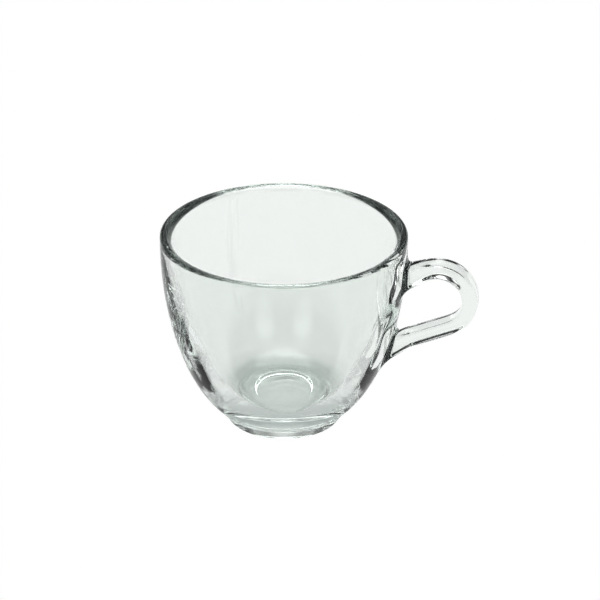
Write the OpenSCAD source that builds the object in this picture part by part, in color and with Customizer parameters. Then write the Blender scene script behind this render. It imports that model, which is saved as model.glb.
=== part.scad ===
// Glass espresso cup: a pressed bowl on a short foot, with a loop handle fused to its wall.
// Millimetres, +Z up. The origin is the centre of the resting face, and the handle points to +X.

/* [Bowl] */
// Diameter across the outside of the rim
rim_d = 65; // [60:0.5:72]
// Height of the cup from the table to the rim
cup_h = 53.7; // [50:0.1:62]
// Thickness of the wall at the rim
wall_t = 3; // [2.5:0.1:3.6]
// Height of the upright band below the rim
rim_band = 2.9; // [2:0.1:6]
// Rounding of the two edges of the lip
lip_r = 1.1; // [0.6:0.05:1.2]
// Radius at which the outer curve would reach the table
curve_foot_r = 8.75; // [5:0.25:11]

/* [Base] */
// Diameter of the foot at the table
foot_d = 31.2; // [29:0.2:34]
// Height of the foot, up to where the bowl's curve begins
foot_h = 3.7; // [2.5:0.1:5]
// Rounding of the foot's lower edge
foot_edge_r = 1; // [0.5:0.1:1.5]
// Diameter of the shallow hollow under the base
recess_d = 24; // [16:0.5:25]
// Depth of the hollow under the base
recess_h = 0.6; // [0.3:0.1:1.5]
// Thickness of the glass between the table and the inside floor
base_t = 6; // [4.6:0.1:7]
// Diameter of the flat inside floor
floor_d = 21.5; // [18:0.5:24]
// Fullness of the inside curve where it turns into the floor: 2 is an ellipse, 1 a straight cone
inside_taper = 1.66; // [1.4:0.02:2]
// Fullness of the inside curve below the rim: 2 is an ellipse, 1 a straight cone
inside_belly = 1.68; // [1.4:0.02:2]
// Diameter of the shallow pressed disc in the middle of the floor
disc_d = 14.4; // [8:0.2:16]
// Depth of the pressed disc
disc_sink = 0.9; // [0.2:0.1:1.4]
// Width of the rounded step round the pressed disc
disc_step_w = 1.4; // [0.5:0.1:1.8]

/* [Handle] */
// How far the handle stands out from the rim
handle_out = 19.3; // [17:0.1:24]
// Drop from the rim to the top of the handle
handle_drop = 4.3; // [3.5:0.1:8]
// Outside diameter of the round part of the loop
loop_d = 20.8; // [19:0.2:24]
// Thickness of the handle, seen from the side
handle_t = 4.2; // [3.2:0.1:5]
// Width of the handle across its two flat sides
handle_w = 6.4; // [5:0.1:8]
// Rounding of the handle's long edges
handle_edge_r = 1.3; // [0.8:0.05:1.5]
// Fall of the upper arm towards the wall, in degrees
upper_fall = 16; // [8:1:22]
// Fall of the lower arm towards the wall, in degrees
lower_fall = 24; // [16:1:30]
// Length over which the underside of each arm flares down to the wall
flare_l = 6.5; // [5:0.1:10]
// How far the underside of each arm drops along the wall at its root
root_drop = 2.8; // [0:0.1:3.5]
// Rounding all round each root, between the handle and the wall
root_fillet_r = 1.5; // [1:0.1:2.5]

/* [Hidden] */

rim_r = rim_d / 2;
shoulder_z = cup_h - rim_band;
inner_rim_r = rim_r - wall_t;
floor_r = floor_d / 2;
disc_r = disc_d / 2;
recess_r = recess_d / 2;
recess_ball_r = (recess_r * recess_r + recess_h * recess_h) / (2 * recess_h);
foot_side_angle = 20;
curve_steps = 36;
lip_steps = 8;
foot_steps = 5;
recess_steps = 6;
disc_steps = 8;

loop_r = (loop_d - handle_t) / 2;
loop_centre = [rim_r + handle_out - loop_d / 2, cup_h - handle_drop - loop_d / 2];
upper_angle = 90 + upper_fall;
lower_angle = lower_fall - 90;
root_depth = 0.55 * wall_t;
flare_bend = 1.15;
root_crowding = 1.8;
wall_search_steps = 8;
corner_steps = 4;
arm_steps = 12;
loop_steps = 28;

$fn = 128;

// A point at an angle and distance from a centre
function polar(centre, r, a) = centre + r * [cos(a), sin(a)];

// Points of an arc from angle a0 to angle a1
function arc(centre, r, a0, a1, steps) =
    [for (i = [0 : steps]) polar(centre, r, a0 + (a1 - a0) * i / steps)];

// Outside radius of the bowl at a height
function outer_r(z) = z >= shoulder_z
    ? rim_r
    : curve_foot_r + (rim_r - curve_foot_r) * sqrt(1 - pow((shoulder_z - z) / shoulder_z, 2));

// How fast the outside radius grows with height
function wall_slope(z) = let (k = max(0, shoulder_z - z) / shoulder_z)
    (rim_r - curve_foot_r) * k / (shoulder_z * sqrt(1 - k * k));

// Outside of the bowl from the edge of its hollow up to the lip's crown
function outside_points() = let (
    edge_centre = [foot_d / 2 - foot_edge_r, foot_edge_r],
    curve_start = acos((outer_r(foot_h) - curve_foot_r) / (rim_r - curve_foot_r))
) concat(
    arc(edge_centre, foot_edge_r, -90, -foot_side_angle, foot_steps),
    [for (i = [0 : curve_steps]) let (a = curve_start * (1 - i / curve_steps))
        [curve_foot_r + (rim_r - curve_foot_r) * cos(a), shoulder_z * (1 - sin(a))]],
    arc([rim_r - lip_r, cup_h - lip_r], lip_r, 0, 90, lip_steps)
);

// Inside of the bowl from the lip's crown down to the pressed disc in its floor
function inside_points() = concat(
    arc([inner_rim_r + lip_r, cup_h - lip_r], lip_r, 90, 180, lip_steps),
    [for (i = [0 : curve_steps]) let (a = 90 * i / curve_steps)
        [
            floor_r + (inner_rim_r - floor_r) * pow(cos(a), 2 / inside_taper),
            shoulder_z - (shoulder_z - base_t) * pow(sin(a), 2 / inside_belly)
        ]],
    [for (i = [0 : disc_steps]) let (t = i / disc_steps)
        [disc_r + disc_step_w * (1 - t), base_t - disc_sink * t * t * (3 - 2 * t)]]
);

// Hollow under the base, from the axis out to its edge
function recess_points() =
    [for (i = [0 : recess_steps]) let (r = recess_r * i / recess_steps)
        [r, sqrt(pow(recess_ball_r, 2) - r * r) - recess_ball_r + recess_h]];

// Cross-section of the handle: [across its thickness, across its width]
function handle_section() = let (
    u = handle_t / 2 - handle_edge_r,
    v = handle_w / 2 - handle_edge_r
) concat(
    arc([u, v], handle_edge_r, 0, 90, corner_steps),
    arc([-u, v], handle_edge_r, 90, 180, corner_steps),
    arc([-u, -v], handle_edge_r, 180, 270, corner_steps),
    arc([u, -v], handle_edge_r, 270, 360, corner_steps)
);

// Distance from the axis at which an arm's centre line reaches the wall
function wall_x(start, slope, x, steps) = steps == 0
    ? x
    : wall_x(start, slope, outer_r(start[1] + (x - start[0]) * slope), steps - 1);

// How far the rounding of a root stands out from the arm, at a distance from the wall
function fillet_out(s) = s >= root_fillet_r
    ? 0
    : root_fillet_r - sqrt(pow(root_fillet_r, 2) - pow(root_fillet_r - s, 2));

// Stations along one arm, crowded towards the wall, from inside it out to the round part of the loop
function arm_stations(section, start, fall, side) = let (
    across = side * [-sin(fall), cos(fall)],
    x = wall_x(start, tan(fall), rim_r, wall_search_steps),
    root = [x, start[1] + (x - start[0]) * tan(fall)],
    along_wall = [wall_slope(root[1]), 1],
    stretch = 1 / (along_wall * across),
    drop = root_drop * along_wall / norm(along_wall),
    length = norm(start - root)
) [for (i = [0 : arm_steps]) let (
    s = -root_depth + (length + root_depth) * pow(i / arm_steps, root_crowding),
    clear = max(0, s),
    flare = pow(max(0, 1 - clear / min(flare_l, length)), flare_bend),
    out = fillet_out(clear)
) [for (p = section) let (
    u = p[0] * (1 + 2 * out / handle_t),
    v = p[1] * (1 + 2 * out / handle_w),
    underside = 0.5 - side * p[0] / handle_t,
    flat = root + u * stretch * along_wall,
    on_wall = [sqrt(flat[0] * flat[0] - v * v), flat[1]],
    on_loop = start + u * across,
    q = on_wall + (on_loop - on_wall) * s / length - flare * underside * drop
) [q[0], v, q[1]]]];

// Stations round the loop between its two arms
function loop_stations(section) =
    [for (i = [1 : loop_steps - 1]) let (a = upper_angle + (lower_angle - upper_angle) * i / loop_steps)
        [for (p = section) let (q = polar(loop_centre, loop_r + p[0], a)) [q[0], p[1], q[1]]]];

// The same stations in the opposite order
function reversed(list) = [for (i = [len(list) - 1 : -1 : 0]) list[i]];

// Closed skin over a row of stations that all have the same number of points
module skin(stations) {
    n = len(stations[0]);
    last = len(stations) - 1;
    points = [for (station = stations) each station];
    sides = [for (j = [0 : last - 1], i = [0 : n - 1]) let (k = (i + 1) % n)
        each [
            [j * n + i, (j + 1) * n + i, (j + 1) * n + k],
            [j * n + i, (j + 1) * n + k, j * n + k]
        ]];
    first_cap = [for (i = [1 : n - 2]) [0, i, i + 1]];
    last_cap = [for (i = [1 : n - 2]) [last * n, last * n + i + 1, last * n + i]];
    polyhedron(points, concat(sides, first_cap, last_cap));
}

// The bowl filled up solid to its rim, for seating the handle on the wall
module filled_bowl() {
    rotate_extrude()
        polygon(concat([[0, 0]], outside_points(), [[0, cup_h]]));
}

module bowl() {
    color("lightcyan")
        rotate_extrude()
            polygon(concat(recess_points(), outside_points(), inside_points(), [[0, base_t - disc_sink]]));
}

module handle() {
    section = handle_section();
    upper = arm_stations(section, polar(loop_centre, loop_r, upper_angle), upper_fall, 1);
    lower = arm_stations(section, polar(loop_centre, loop_r, lower_angle), lower_fall, -1);
    color("paleturquoise")
        difference() {
            skin(concat(upper, loop_stations(section), reversed(lower)));
            filled_bowl();
        }
}

bowl();
handle();
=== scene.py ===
"""Glass espresso cup: one body of clear pressed glass on a white studio table."""

import math

import bmesh
import bpy
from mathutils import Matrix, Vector, noise


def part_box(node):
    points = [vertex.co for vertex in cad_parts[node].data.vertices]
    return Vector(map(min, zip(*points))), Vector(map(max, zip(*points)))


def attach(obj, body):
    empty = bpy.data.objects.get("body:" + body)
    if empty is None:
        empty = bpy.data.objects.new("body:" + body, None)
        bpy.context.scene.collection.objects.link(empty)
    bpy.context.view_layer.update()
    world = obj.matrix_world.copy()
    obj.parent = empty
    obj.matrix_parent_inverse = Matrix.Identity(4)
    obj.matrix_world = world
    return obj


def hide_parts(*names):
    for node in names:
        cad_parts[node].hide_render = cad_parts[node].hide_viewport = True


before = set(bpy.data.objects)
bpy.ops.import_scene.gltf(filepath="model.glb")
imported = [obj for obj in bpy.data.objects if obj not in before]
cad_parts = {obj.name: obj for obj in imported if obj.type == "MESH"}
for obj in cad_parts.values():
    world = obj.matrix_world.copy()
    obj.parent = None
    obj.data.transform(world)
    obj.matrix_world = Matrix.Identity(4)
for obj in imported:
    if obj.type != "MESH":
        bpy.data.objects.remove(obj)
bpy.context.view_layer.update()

# Metres in a millimetre
MM = 0.001

# Sizes of the bowl, in millimetres and degrees
CUP_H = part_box("bowl")[1].z / MM
RIM_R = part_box("bowl")[1].y / MM
WALL_T = 3.0
RIM_BAND = 2.9
LIP_OUTER_R = 0.8
LIP_INNER_R = 2.0
CURVE_FOOT_R = 8.75
FOOT_R = 15.6
FOOT_H = 3.7
FOOT_EDGE_R = 1.0
FOOT_SIDE_ANGLE = 20
RECESS_R = 12.0
RECESS_H = 0.6
BASE_T = 6.0
FLOOR_R = 10.3
INSIDE_BELLY = 1.74
INSIDE_TAPER = 1.62
DISC_R = 7.8
DISC_SINK = 0.8
DISC_STEP = 0.75
SHOULDER_Z = CUP_H - RIM_BAND
INNER_RIM_R = RIM_R - WALL_T

# Unevenness of the pressed inside wall as (depth, width round the cup, height), in millimetres,
# and the distance from the floor and from the rim over which it fades away
RIPPLES = ((0.14, 4.0, 60.0), (0.02, 2.0, 40.0))
RIPPLE_FADE = 10.0

# Sizes of the handle, in millimetres and degrees
HANDLE_DROP = 4.3
LOOP_D = 20.8
HANDLE_T = 4.2
HANDLE_W = 6.4
UPPER_FALL = 16
LOWER_FALL = 24
FLARE_L = 6.5
FLARE_BEND = 1.15
ROOT_DROP = 2.8
ROOT_FILLET_R = 1.5
LOOP_R = (LOOP_D - HANDLE_T) / 2
LOOP_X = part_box("handle")[1].x / MM - LOOP_D / 2
LOOP_Z = CUP_H - HANDLE_DROP - LOOP_D / 2
UPPER_TURN = 90 + UPPER_FALL
LOWER_TURN = LOWER_FALL - 90
WALL_SEARCH_STEPS = 8

# Cage of the bowl: steps from ring to ring, places as shares of a way,
# and how far the supporting rings stand from an edge, in millimetres
SEGMENTS = 64
HOLLOW_STEPS = 5
HOLLOW_START_R = 2.0
HOLLOW_EDGE_GAP = 0.5
FOOT_EDGE_GAP = 0.4
FOOT_EDGE_STEPS = 3
FOOT_SIDE_PLACES = (0.3, 0.8)
FOOT_TOP_GAP = 0.8
WALL_START_GAP = 2.0
WALL_STEPS = 5
SHOULDER_STEPS = 2
LIP_STEPS = 4
INSIDE_STEPS = 16
INSIDE_END_TURN = 72
BEND_START_TURN = 75
BEND_STEPS = 5
FLOOR_EDGE_GAP = 0.6
DISC_EDGE_STEPS = 4
DISC_PLACES = (0.92, 0.7, 0.4)

# Cage of the handle: distances of its loops from the wall, in millimetres, then the cross-section's corners
# and quarter points as shares of half its thickness and half its width
UPPER_PLACES = (0.25, 0.7, 1.5, 2.8, 4.3, 5.8)
LOWER_PLACES = (0.25, 0.7, 1.5, 2.8, 4.3, 6.2, 8.6, 11.2, 14)
LOOP_STEPS = 16
CORNER_T = 0.89
QUARTER_T = 0.36
CORNER_W = 0.94
QUARTER_W = 0.54
ROOT_CELLS = 4
ROOT_EDGE = 1.06

SUBDIVISIONS = 2
RENDER_SUBDIVISIONS = 3

# Glass: tint of one pass through the wall, then the colour and density of light's loss in its depth
GLASS_IOR = 1.52
GLASS_TINT = (0.929, 0.948, 0.935)
GLASS_DEPTH = (0.64, 0.70, 0.674)
GLASS_DENSITY = 8

# Fine waves of the fire-polished skin, in millimetres, the noise level above which it dulls,
# and the roughness of its dullest spots
WAVE_WIDTH = 2.5
WAVE_DEPTH = 0.004
HAZE_START = 0.5
HAZE = 0.012

# Sky as (elevation, brightness), then soft lamps as (turn, elevation, half-angle, edge, brightness)
SKY = ((0, 1.0), (5, 1.0), (10, 0.3), (16, 0.02), (44, 0.02), (54, 0.4), (62, 2.4), (90, 2.4))
LAMPS = (
    (30, 27, 10, 8, 1.2),
    (-30, 27, 10, 8, 1.3),
    (180, 31, 9, 5, 0.65),
    (180, 20, 30, 10, 0.4),
)
LIGHT_BOUNCES = 32

# Table: half its side in metres, and the heights of its shade and of itself, in millimetres
FLOOR_HALF = 20
SHADE_Z = -0.15
FLOOR_Z = -0.3
# Shade under the cup as (distance from the axis, brightness), and how strongly it takes red, green and blue
SHADE = ((0, 0.8), (8, 0.79), (11, 0.66), (14, 0.6), (16, 0.68), (20, 0.76), (24, 0.93), (29, 1.0))
SHADE_R = SHADE[-1][0]
SHADE_DIMMING = (1.06, 0.97, 1.0)

# Contrast of the picture: below 1 deepens the darker tones and leaves white as it is
TONE_GAMMA = 0.6

# The photograph's viewpoint, and the pixel that shows the middle of the cup's axis
IMAGE_PX = 600
VIEW_TURN = 12.0
VIEW_ELEVATION = 26.94
VIEW_DISTANCE = 650.0
PX_PER_MM = 3.7566
TARGET_PX = (283.9, 323.7)


def steps(first, last, count):
    """count + 1 evenly spaced values, both ends included."""
    return [first + (last - first) * i / count for i in range(count + 1)]


def arc(centre, radius, start, end, count):
    """Points of an arc in a vertical plane; angles in degrees."""
    turns = [math.radians(a) for a in steps(start, end, count)]
    return [(centre[0] + radius * math.cos(a), centre[1] + radius * math.sin(a)) for a in turns]


def outer_r(z):
    """Outside radius of the bowl at a height."""
    if z >= SHOULDER_Z:
        return RIM_R
    depth = (SHOULDER_Z - z) / SHOULDER_Z
    return CURVE_FOOT_R + (RIM_R - CURVE_FOOT_R) * math.sqrt(1 - depth**2)


def wall_slope(z):
    """Change of the outside radius for each millimetre of height."""
    depth = (SHOULDER_Z - z) / SHOULDER_Z
    return (RIM_R - CURVE_FOOT_R) * depth / (SHOULDER_Z * math.sqrt(1 - depth**2))


def fillet_out(s):
    """How far the rounding of a root stands out from the arm, at a distance from the wall."""
    if s >= ROOT_FILLET_R:
        return 0
    return ROOT_FILLET_R - math.sqrt(ROOT_FILLET_R**2 - (ROOT_FILLET_R - s) ** 2)


class Arm:
    """One arm of the handle, from its root on the wall out to the round loop."""

    def __init__(self, turn, fall, side):
        angle, fall = math.radians(turn), math.radians(fall)
        self.side = side
        self.start = Vector((LOOP_X + LOOP_R * math.cos(angle), LOOP_Z + LOOP_R * math.sin(angle)))
        self.across = side * Vector((-math.sin(fall), math.cos(fall)))
        self.root = self.find_root(math.tan(fall))
        along = Vector((wall_slope(self.root.y), 1))
        self.root_across = along / along.dot(self.across)
        self.drop = ROOT_DROP * along.normalized()
        self.length = (self.start - self.root).length
        self.flare = min(FLARE_L, self.length)

    def find_root(self, slope):
        """The point where the arm's centre line reaches the wall, found in a few steps."""
        x = RIM_R
        for _ in range(WALL_SEARCH_STEPS):
            x = outer_r(self.start.y + (x - self.start.x) * slope)
        return Vector((x, self.start.y + (x - self.start.x) * slope))

    def point(self, u, v, s):
        """The point u across the thickness and v across the width of the arm, s out from the wall."""
        out = fillet_out(s)
        wide_u = u * (1 + 2 * out / HANDLE_T)
        wide_v = v * (1 + 2 * out / HANDLE_W)
        flare = max(0, 1 - s / self.flare) ** FLARE_BEND
        underside = 0.5 - self.side * u / HANDLE_T
        flat = self.root + wide_u * self.root_across
        seat = Vector((math.sqrt(flat.x**2 - wide_v**2), flat.y))
        q = seat.lerp(self.start + wide_u * self.across, s / self.length)
        q -= flare * underside * self.drop
        return Vector((q.x, wide_v, q.y))

    def root_heights(self):
        """Heights of the rows of wall vertices round the root, from the handle's outer side inwards."""
        reach = ROOT_EDGE * HANDLE_T / 2
        return [self.point(u, 0, 0).z for u in steps(reach, -reach, ROOT_CELLS)]


UPPER_ARM = Arm(UPPER_TURN, UPPER_FALL, 1)
LOWER_ARM = Arm(LOWER_TURN, LOWER_FALL, -1)


def underside_rings():
    """The shallow hollow and the flat ring that the cup stands on."""
    ball_r = (RECESS_R**2 + RECESS_H**2) / (2 * RECESS_H)
    radii = steps(HOLLOW_START_R, RECESS_R, HOLLOW_STEPS)
    hollow = [(r, math.sqrt(ball_r**2 - r * r) - ball_r + RECESS_H) for r in radii]
    return hollow + [(RECESS_R + HOLLOW_EDGE_GAP, 0), (FOOT_R - FOOT_EDGE_R - FOOT_EDGE_GAP, 0)]


def foot_rings():
    """The rounded lower edge of the foot and its sloping side."""
    centre = (FOOT_R - FOOT_EDGE_R, FOOT_EDGE_R)
    edge = arc(centre, FOOT_EDGE_R, -90, -FOOT_SIDE_ANGLE, FOOT_EDGE_STEPS)
    low_r, low_z = edge[-1]
    top_r = outer_r(FOOT_H)
    return edge + [(low_r + (top_r - low_r) * t, low_z + (FOOT_H - low_z) * t) for t in FOOT_SIDE_PLACES]


def wall_heights():
    """Heights of the rings of the outside wall, with rows to suit both roots of the handle."""
    lower, upper = LOWER_ARM.root_heights(), UPPER_ARM.root_heights()[::-1]
    foot_top = [FOOT_H, FOOT_H + FOOT_TOP_GAP]
    below = steps(FOOT_H + WALL_START_GAP, lower[0], WALL_STEPS)[:-1]
    between = steps(lower[-1], upper[0], WALL_STEPS)[1:-1]
    above = steps(upper[-1], SHOULDER_Z, SHOULDER_STEPS)[1:]
    return foot_top + below + lower + between + upper + above


def lip_rings():
    """The rounded lip, over its crown and down to the inside wall."""
    outer = arc((RIM_R - LIP_OUTER_R, CUP_H - LIP_OUTER_R), LIP_OUTER_R, 0, 90, LIP_STEPS)
    inner = arc((INNER_RIM_R + LIP_INNER_R, CUP_H - LIP_INNER_R), LIP_INNER_R, 90, 180, LIP_STEPS)
    return outer + inner


def inside_rings():
    """The inside wall, the flat floor and the shallow pressed disc."""
    rings = []
    for turn in steps(0, INSIDE_END_TURN, INSIDE_STEPS) + steps(BEND_START_TURN, 90, BEND_STEPS):
        a = math.radians(turn)
        r = FLOOR_R + (INNER_RIM_R - FLOOR_R) * max(0, math.cos(a)) ** (2 / INSIDE_TAPER)
        rings.append((r, SHOULDER_Z - (SHOULDER_Z - BASE_T) * math.sin(a) ** (2 / INSIDE_BELLY)))
    rings.append((FLOOR_R - FLOOR_EDGE_GAP, BASE_T))
    for t in steps(0, 1, DISC_EDGE_STEPS):
        rings.append((DISC_R + DISC_STEP * (1 - t), BASE_T - DISC_SINK * t * t * (3 - 2 * t)))
    return rings + [(DISC_R * t, BASE_T - DISC_SINK) for t in DISC_PLACES]


def ring_points(r, z):
    """One ring of cage vertices."""
    turns = [2 * math.pi * k / SEGMENTS for k in range(SEGMENTS)]
    return [Vector((r * math.cos(a), r * math.sin(a), z)) for a in turns]


def ripple(point):
    """How far the pressed inside surface stands in from its ideal shape at a point."""
    from_edge = min(point.z - BASE_T, SHOULDER_Z - point.z)
    fade = max(0, min(1, from_edge / RIPPLE_FADE))
    depth = 0
    for size, width, height in RIPPLES:
        depth += size * noise.noise(Vector((point.x / width, point.y / width, point.z / height)))
    return fade * depth


def rippled(points):
    """An inside ring with the unevenness of pressed glass."""
    moved = []
    for p in points:
        scale = 1 - ripple(p) / INNER_RIM_R
        moved.append(Vector((p.x * scale, p.y * scale, p.z)))
    return moved


def root_cells():
    """The cells round the edge of a root patch, in order, as (column, row)."""
    n = ROOT_CELLS
    first = [(i, 0) for i in range(n)] + [(n, j) for j in range(n)]
    return first + [(i, n) for i in range(n, 0, -1)] + [(0, j) for j in range(n, 0, -1)]


def section():
    """Cage of the handle's cross-section, as (across thickness, across width), ordered as root_cells."""
    thick = (1, QUARTER_T, 0, -QUARTER_T, -1)
    wide = (-1, -QUARTER_W, 0, QUARTER_W, 1)
    points = []
    for i, j in root_cells():
        u, v = thick[j], wide[i]
        if abs(u) == abs(v) == 1:
            u, v = u * CORNER_T, v * CORNER_W
        points.append((u * HANDLE_T / 2, v * HANDLE_W / 2))
    return points


def loop_station(shape, turn):
    """One loop of points on the round part of the handle, at a turn about its centre."""
    out, up = math.cos(math.radians(turn)), math.sin(math.radians(turn))
    return [Vector((LOOP_X + (LOOP_R + u) * out, v, LOOP_Z + (LOOP_R + u) * up)) for u, v in shape]


def handle_stations():
    """Loops of points along the handle, from the upper root round to the lower one."""
    shape = section()
    upper = [[UPPER_ARM.point(u, v, s) for u, v in shape] for s in UPPER_PLACES]
    loop = [loop_station(shape, turn) for turn in steps(UPPER_TURN, LOWER_TURN, LOOP_STEPS)]
    lower = [[LOWER_ARM.point(u, v, s) for u, v in shape] for s in LOWER_PLACES]
    return upper + loop + lower[::-1]


def on_wall(point):
    """The point of the outside wall at this point's height and sideways place."""
    r = outer_r(point.z)
    return Vector((math.sqrt(r * r - point.y**2), point.y, point.z))


def bridge(bm, first, second):
    """A band of faces between two closed loops of vertices."""
    for k in range(len(first)):
        n = (k + 1) % len(first)
        bm.faces.new((first[k], first[n], second[n], second[k]))


def add_bowl(bm):
    """Adds the closed skin of the bowl, and returns the rings of its outside wall by their heights."""
    base = underside_rings() + foot_rings()
    heights = wall_heights()
    outside = base + [(outer_r(z), z) for z in heights] + lip_rings()
    points = [ring_points(r, z) for r, z in outside]
    points += [rippled(ring_points(r, z)) for r, z in inside_rings()]
    rings = [[bm.verts.new(p) for p in ring] for ring in points]
    for below, above in zip(rings, rings[1:]):
        bridge(bm, below, above)
    bm.faces.new(rings[0])
    bm.faces.new(rings[-1])
    return dict(zip(heights, rings[len(base) :]))


def join_root(bm, wall, arm, loop):
    """Opens the wall at an arm's root and joins the opening to the arm's nearest loop."""
    columns = [(i - ROOT_CELLS // 2) % SEGMENTS for i in range(ROOT_CELLS + 1)]
    patch = [[wall[z][i] for i in columns] for z in arm.root_heights()]
    inner = [vert for row in patch[1:-1] for vert in row[1:-1]]
    bmesh.ops.delete(bm, geom=inner, context="VERTS")
    edge = [patch[j][i] for i, j in root_cells()]
    for vert, (u, v) in zip(edge, section()):
        vert.co = on_wall(arm.point(u * ROOT_EDGE, v * ROOT_EDGE, 0))
    bridge(bm, edge, loop)


def mesh_from(bm, name):
    """A new mesh from a bmesh, which is freed."""
    mesh = bpy.data.meshes.new(name)
    bm.to_mesh(mesh)
    bm.free()
    return mesh


def cup_mesh():
    """The closed cage of the whole cup, with the handle growing out of the wall."""
    bm = bmesh.new()
    wall = add_bowl(bm)
    loops = [[bm.verts.new(p) for p in station] for station in handle_stations()]
    for near, far in zip(loops, loops[1:]):
        bridge(bm, near, far)
    join_root(bm, wall, UPPER_ARM, loops[0])
    join_root(bm, wall, LOWER_ARM, loops[-1])
    for vert in bm.verts:
        vert.co *= MM
    bmesh.ops.recalc_face_normals(bm, faces=bm.faces)
    for face in bm.faces:
        face.smooth = True
    return mesh_from(bm, "cup_glass")


def add_depth(tree):
    """Gives a material's inside the faint grey-green loss of light of soda-lime glass."""
    depth = tree.nodes.new("ShaderNodeVolumeAbsorption")
    depth.inputs["Color"].default_value = (*GLASS_DEPTH, 1)
    depth.inputs["Density"].default_value = GLASS_DENSITY
    tree.links.new(depth.outputs["Volume"], tree.nodes["Material Output"].inputs["Volume"])


def glass_material():
    """Clear glass with a fire-polished skin: fine waves, and a trace of haze on their crests."""
    material = bpy.data.materials.new("clear_glass")
    material.use_nodes = True
    tree = material.node_tree
    shader = tree.nodes["Principled BSDF"]
    shader.inputs["Base Color"].default_value = (*GLASS_TINT, 1)
    shader.inputs["Transmission Weight"].default_value = 1
    shader.inputs["IOR"].default_value = GLASS_IOR
    place = tree.nodes.new("ShaderNodeTexCoord")
    waves = tree.nodes.new("ShaderNodeTexNoise")
    waves.inputs["Scale"].default_value = 1 / (WAVE_WIDTH * MM)
    bump = tree.nodes.new("ShaderNodeBump")
    bump.inputs["Distance"].default_value = WAVE_DEPTH * MM
    haze = tree.nodes.new("ShaderNodeMapRange")
    haze.inputs["From Min"].default_value = HAZE_START
    haze.inputs["To Max"].default_value = HAZE
    tree.links.new(place.outputs["Object"], waves.inputs["Vector"])
    tree.links.new(waves.outputs["Fac"], bump.inputs["Height"])
    tree.links.new(waves.outputs["Fac"], haze.inputs["Value"])
    tree.links.new(bump.outputs["Normal"], shader.inputs["Normal"])
    tree.links.new(haze.outputs["Result"], shader.inputs["Roughness"])
    add_depth(tree)
    return material


def add_object(name, mesh, material):
    """A new object in the scene with one material."""
    mesh.materials.append(material)
    obj = bpy.data.objects.new(name, mesh)
    bpy.context.scene.collection.objects.link(obj)
    return obj


def make_cup():
    """The cup as one body of glass, because bowl and handle are fused."""
    cup = add_object("cup_glass", cup_mesh(), glass_material())
    smooth = cup.modifiers.new("smooth", "SUBSURF")
    smooth.levels = SUBDIVISIONS
    smooth.render_levels = RENDER_SUBDIVISIONS
    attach(cup, "root")
    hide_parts("bowl", "handle")


def fill_ramp(ramp, stops, dimming=(1, 1, 1)):
    """Sets a ramp's stops from (position, brightness); dimming weighs each colour's fall from white."""
    while len(ramp.elements) < len(stops):
        ramp.elements.new(1)
    for element, (position, light) in zip(ramp.elements, stops):
        element.position = position
        element.color = (*(1 - weight * (1 - light) for weight in dimming), 1)


def flat_light(name):
    """A material that only gives light, with its node tree and its light node."""
    material = bpy.data.materials.new(name)
    material.use_nodes = True
    tree = material.node_tree
    tree.nodes.remove(tree.nodes["Principled BSDF"])
    glow = tree.nodes.new("ShaderNodeEmission")
    tree.links.new(glow.outputs["Emission"], tree.nodes["Material Output"].inputs["Surface"])
    return material, tree, glow


def make_floor():
    """The plain white table."""
    material = flat_light("studio_floor")[0]
    bm = bmesh.new()
    bmesh.ops.create_grid(bm, size=FLOOR_HALF)
    floor = add_object("studio_floor", mesh_from(bm, "studio_floor"), material)
    floor.location.z = FLOOR_Z * MM


def shade_material():
    """Light of the table under the cup, dimmed by distance from the axis."""
    material, tree, glow = flat_light("studio_shade")
    place = tree.nodes.new("ShaderNodeTexCoord")
    away = tree.nodes.new("ShaderNodeVectorMath")
    away.operation = "LENGTH"
    reach = tree.nodes.new("ShaderNodeMapRange")
    reach.inputs["From Max"].default_value = SHADE_R * MM
    ramp = tree.nodes.new("ShaderNodeValToRGB")
    fill_ramp(ramp.color_ramp, [(r / SHADE_R, light) for r, light in SHADE], SHADE_DIMMING)
    tree.links.new(place.outputs["Object"], away.inputs[0])
    tree.links.new(away.outputs["Value"], reach.inputs["Value"])
    tree.links.new(reach.outputs["Result"], ramp.inputs["Fac"])
    tree.links.new(ramp.outputs["Color"], glow.inputs["Color"])
    return material


def make_shade():
    """The shade under the cup, which shows only through the glass, as on a cut-out photograph."""
    bm = bmesh.new()
    bmesh.ops.create_circle(bm, cap_ends=True, segments=SEGMENTS, radius=SHADE_R * MM)
    shade = add_object("studio_shade", mesh_from(bm, "studio_shade"), shade_material())
    shade.location.z = SHADE_Z * MM
    shade.visible_camera = False


def direction(turn, elevation):
    """Unit vector at a turn from the camera's side, anticlockwise seen from above, and an elevation."""
    a, e = math.radians(VIEW_TURN - 90 + turn), math.radians(elevation)
    return Vector((math.cos(a) * math.cos(e), math.sin(a) * math.cos(e), math.sin(e)))


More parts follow.
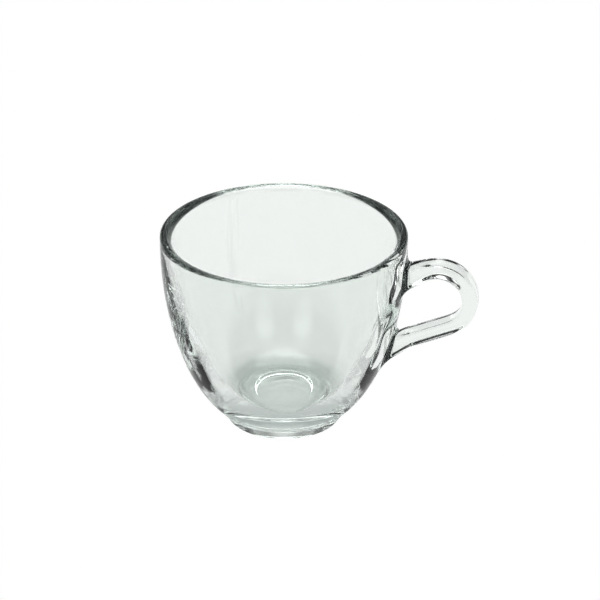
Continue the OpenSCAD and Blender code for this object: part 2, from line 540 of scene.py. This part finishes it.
def add_lamp(tree, place, light, turn, elevation, half_angle, edge, brightness):
    """Adds a soft round lamp to the sky's light."""
    facing = tree.nodes.new("ShaderNodeVectorMath")
    facing.operation = "DOT_PRODUCT"
    facing.inputs[1].default_value = direction(turn, elevation)
    spot = tree.nodes.new("ShaderNodeMapRange")
    spot.interpolation_type = "SMOOTHSTEP"
    spot.inputs["From Min"].default_value = math.cos(math.radians(half_angle + edge))
    spot.inputs["From Max"].default_value = math.cos(math.radians(half_angle - edge))
    spot.inputs["To Max"].default_value = brightness
    total = tree.nodes.new("ShaderNodeMath")
    tree.links.new(place.outputs["Generated"], facing.inputs[0])
    tree.links.new(facing.outputs["Value"], spot.inputs["Value"])
    tree.links.new(light, total.inputs[0])
    tree.links.new(spot.outputs["Result"], total.inputs[1])
    return total.outputs["Value"]


def make_world():
    """The studio's soft light: a sky dark at the sides, with lamps behind the camera and the cup."""
    world = bpy.data.worlds.new("studio")
    bpy.context.scene.world = world
    world.use_nodes = True
    tree = world.node_tree
    place = tree.nodes.new("ShaderNodeTexCoord")
    axes = tree.nodes.new("ShaderNodeSeparateXYZ")
    ramp = tree.nodes.new("ShaderNodeValToRGB")
    fill_ramp(ramp.color_ramp, [(math.sin(math.radians(elevation)), light) for elevation, light in SKY])
    tree.links.new(place.outputs["Generated"], axes.inputs["Vector"])
    tree.links.new(axes.outputs["Z"], ramp.inputs["Fac"])
    light = ramp.outputs["Color"]
    for lamp in LAMPS:
        light = add_lamp(tree, place, light, *lamp)
    tree.links.new(light, tree.nodes["Background"].inputs["Color"])


def make_camera():
    """The camera at the photograph's angle, aimed at the middle of the cup's axis."""
    back = direction(0, VIEW_ELEVATION)
    data = bpy.data.cameras.new("camera")
    camera = bpy.data.objects.new("camera", data)
    bpy.context.scene.collection.objects.link(camera)
    bpy.context.scene.camera = camera
    camera.location = Vector((0, 0, CUP_H / 2 * MM)) + back * VIEW_DISTANCE * MM
    camera.rotation_mode = "QUATERNION"
    camera.rotation_quaternion = (-back).to_track_quat("-Z", "Y")
    data.lens = data.sensor_width * PX_PER_MM * VIEW_DISTANCE / IMAGE_PX
    data.shift_x = (IMAGE_PX / 2 - TARGET_PX[0]) / IMAGE_PX
    data.shift_y = (TARGET_PX[1] - IMAGE_PX / 2) / IMAGE_PX


def set_studio():
    """The picture's tones, and enough bounces for light to find its way through the glass."""
    scene = bpy.context.scene
    scene.view_settings.view_transform = "Standard"
    scene.view_settings.gamma = TONE_GAMMA
    scene.cycles.max_bounces = LIGHT_BOUNCES
    scene.cycles.glossy_bounces = LIGHT_BOUNCES
    scene.cycles.transmission_bounces = LIGHT_BOUNCES


make_cup()
make_floor()
make_shade()
make_world()
make_camera()
set_studio()
